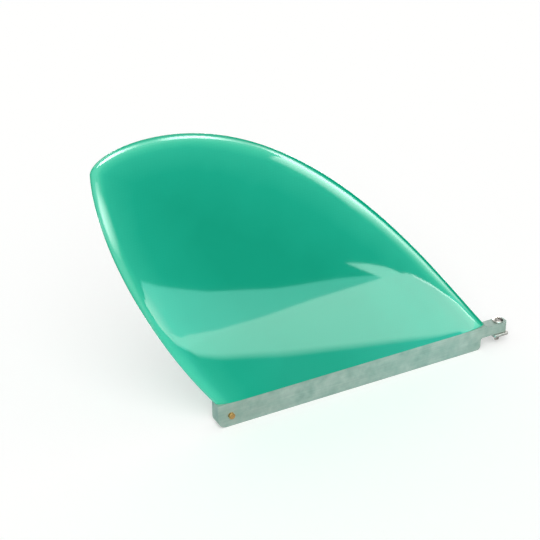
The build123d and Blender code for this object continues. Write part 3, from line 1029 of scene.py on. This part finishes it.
# An upright card stands round the crest, on both sides of the fin: name, distance from the crest in
# metres, strength, then (heading, cover) and (tilt, cover), in degrees.
UPRIGHT_CARDS = [
    ("window", 1.6, 20.0,
     ((-10, 0), (-3, 2.5), (5, 2.5), (9, 1), (13, 0.45), (17, 0.1), (21, 0.1), (25, 0.8), (33, 1),
      (38, 0.3), (42, 0.15), (52, 0.15), (62, 0)),
     ((1, 0), (4, 0.7), (7, 1), (11, 1), (15, 0.5), (19, 0.12), (26, 0))),
    ("gleam", 1.55, 14.0, ((43.6, 0), (44.2, 1), (48, 1), (51, 0.5), (54, 0)),
     ((-3.5, 1), (1, 1), (3, 0.8), (6, 0.3), (8, 0))),
    ("lid", 1.5, 0.0, ((-120, 0), (-100, 1), (15, 1), (35, 0)), ((42, 0), (55, 1), (90, 1))),
    ("flag", 1.5, 0.0, ((57, 0), (62, 1), (110, 1), (120, 0)), ((-12, 1), (30, 1), (42, 0))),
]


class FIN_OT_studio(bpy.types.Operator):
    """Pale floor, soft light, reflector cards and the camera"""
    bl_idname = "longboard_fin.studio"
    bl_label = "Studio"

    def execute(self, context):
        scene = context.scene
        studio = scene.fin_studio
        scene.view_settings.view_transform = "Standard"
        ground = -scene.fin_tab.tab_depth
        self.floor(studio, ground)
        self.world(scene)
        self.key_light(studio)
        self.cards(ground)
        self.camera(scene, studio)
        return {"FINISHED"}

    def seen_rays(self, tree):
        """1 for the rays that should find a white background, and 0 for those that light the fin."""
        ray = add(tree, "ShaderNodeLightPath")
        seen = add(tree, MATH, {
            0: ray.outputs["Is Camera Ray"], 1: ray.outputs["Is Glossy Ray"]}, operation="ADD")
        return add(tree, MATH, {0: seen, 1: ray.outputs["Is Transmission Ray"]},
                   operation="ADD", use_clamp=True)

    def floor(self, studio, ground):
        """Floor under the tab, white to the camera and keeping the shadow."""
        material, tree = new_material("pale_floor")
        lift = add(tree, MATH, {0: self.seen_rays(tree), 1: FLOOR_GLOW}, operation="MULTIPLY")
        paint = add(tree, "ShaderNodeBsdfDiffuse", {"Color": studio.floor})
        glow = add(tree, "ShaderNodeEmission", {"Strength": lift})
        both = add(tree, "ShaderNodeAddShader", {0: paint, 1: glow})
        add(tree, "ShaderNodeOutputMaterial", {"Surface": both})
        bm = bmesh.new()
        bmesh.ops.create_grid(bm, x_segments=1, y_segments=1, size=12)
        bmesh.ops.translate(bm, verts=bm.verts, vec=(0, 0, ground))
        from_bmesh("floor", bm, [material])

    def world(self, scene):
        """Even light from all round."""
        world = bpy.data.worlds.new("studio")
        world.use_nodes = True
        tree = world.node_tree
        tree.nodes.clear()
        strength = add(tree, SPREAD, {"Value": self.seen_rays(tree), "To Min": FILL, "To Max": 1.0})
        light = add(tree, "ShaderNodeBackground", {"Color": (1, 1, 1, 1), "Strength": strength})
        add(tree, "ShaderNodeOutputWorld", {"Surface": light})
        scene.world = world

    def key_light(self, studio):
        """Broad soft key from above the camera's left."""
        data = bpy.data.lights.new("key", "SUN")
        data.energy = studio.key_light
        data.angle = KEY_SPREAD
        key = new_object("key", data)
        key.rotation_euler = Vector(KEY_DIRECTION).to_track_quat("Z", "Y").to_euler()

    def cards(self, ground):
        """Floor cards and upright cards, on both sides of the fin."""
        for name, height, tint, strength, along, across, rows in FLOOR_CARDS:
            for side in (1, -1):
                points = [[(x * MM, side * y * MM, ground + height * MM) for x, y in row] for row in rows]
                self.sheet(name, points, along, across, tint, strength)
        for name, reach, strength, headings, tilts in UPRIGHT_CARDS:
            along, across = [cover for _, cover in tilts], [cover for _, cover in headings]
            for side in (1, -1):
                points = [[self.round_crest(reach, side, heading, tilt) for heading, _ in headings]
                          for tilt, _ in tilts]
                self.sheet(name, points, along, across, PAPER, strength)

    def round_crest(self, reach, side, heading, tilt):
        """Point this far from the crest, at a heading and a tilt in degrees."""
        heading, tilt = math.radians(heading), math.radians(tilt)
        level = math.cos(tilt)
        way = Vector((math.sin(heading) * level, -side * math.cos(heading) * level, math.sin(tilt)))
        return Vector(CREST_MIDDLE) + reach * way

    def sheet(self, name, points, along, across, tint, strength):
        """Grid of points that glows, and fades with its cover. Only reflections see it."""
        material, tree = new_material(name)
        cover = add(tree, "ShaderNodeAttribute", attribute_name="cover").outputs["Fac"]
        clear = add(tree, "ShaderNodeBsdfTransparent")
        glow = add(tree, "ShaderNodeEmission", {"Color": tint, "Strength": strength})
        faded = add(tree, "ShaderNodeMixShader", {0: cover, 1: clear, 2: glow})
        add(tree, "ShaderNodeOutputMaterial", {"Surface": faded})
        width = len(across)
        faces = [
            (r * width + c, r * width + c + 1, (r + 1) * width + c + 1, (r + 1) * width + c)
            for r in range(len(along) - 1) for c in range(width - 1)
        ]
        mesh = bpy.data.meshes.new(name)
        mesh.from_pydata([point for row in points for point in row], [], faces)
        mesh.materials.append(material)
        covers = mesh.attributes.new("cover", "FLOAT", "POINT")
        covers.data.foreach_set("value", [float(row * column) for row in along for column in across])
        card = new_object(name, mesh)
        card.visible_camera = card.visible_diffuse = card.visible_shadow = False
        card.visible_transmission = card.visible_volume_scatter = False

    def camera(self, scene, studio):
        """Camera at the place and angle of the photograph's."""
        data = bpy.data.cameras.new("camera")
        data.sensor_width = 36
        data.lens = studio.lens
        data.clip_start, data.clip_end = 0.01, 50
        camera = new_object("camera", data)
        camera.location = CAMERA_PLACE
        camera.rotation_euler = (math.pi / 2 - studio.camera_tilt, 0, -studio.camera_turn)
        scene.camera = camera


class FIN_PT_pieces(bpy.types.Panel):
    """Pieces of the fin, and its studio"""
    bl_idname = "FIN_PT_pieces"
    bl_label = "Longboard Fin"
    bl_space_type = "VIEW_3D"
    bl_region_type = "UI"
    bl_category = "Longboard Fin"

    def draw(self, context):
        for operator in OPERATORS:
            self.layout.operator(operator.bl_idname)
        for group in GROUPS:
            box = self.layout.box()
            box.label(text=GROUPS[group].__doc__)
            for name in GROUPS[group].__annotations__:
                box.prop(getattr(context.scene, group), name)


GROUPS = {
    "fin_blade": BladeSizes,
    "fin_tab": TabSizes,
    "fin_hardware": HardwareSizes,
    "fin_colours": FinColours,
    "fin_studio": StudioSettings,
}
OPERATORS = [
    FIN_OT_blade_and_tab, FIN_OT_cross_pin, FIN_OT_fin_screw, FIN_OT_screw_plate, FIN_OT_studio,
]


def register():
    for group in GROUPS.values():
        bpy.utils.register_class(group)
    for name, group in GROUPS.items():
        setattr(bpy.types.Scene, name, bpy.props.PointerProperty(type=group))
    for one in (*OPERATORS, FIN_PT_pieces):
        bpy.utils.register_class(one)


def unregister():
    for one in (FIN_PT_pieces, *reversed(OPERATORS)):
        bpy.utils.unregister_class(one)
    for name, group in reversed(GROUPS.items()):
        delattr(bpy.types.Scene, name)
        bpy.utils.unregister_class(group)


def main():
    """Builds every piece and the studio."""
    register()
    bpy.ops.longboard_fin.blade_and_tab()
    bpy.ops.longboard_fin.cross_pin()
    bpy.ops.longboard_fin.fin_screw()
    bpy.ops.longboard_fin.screw_plate()
    bpy.ops.longboard_fin.studio()


if __name__ == "__main__":
    main()
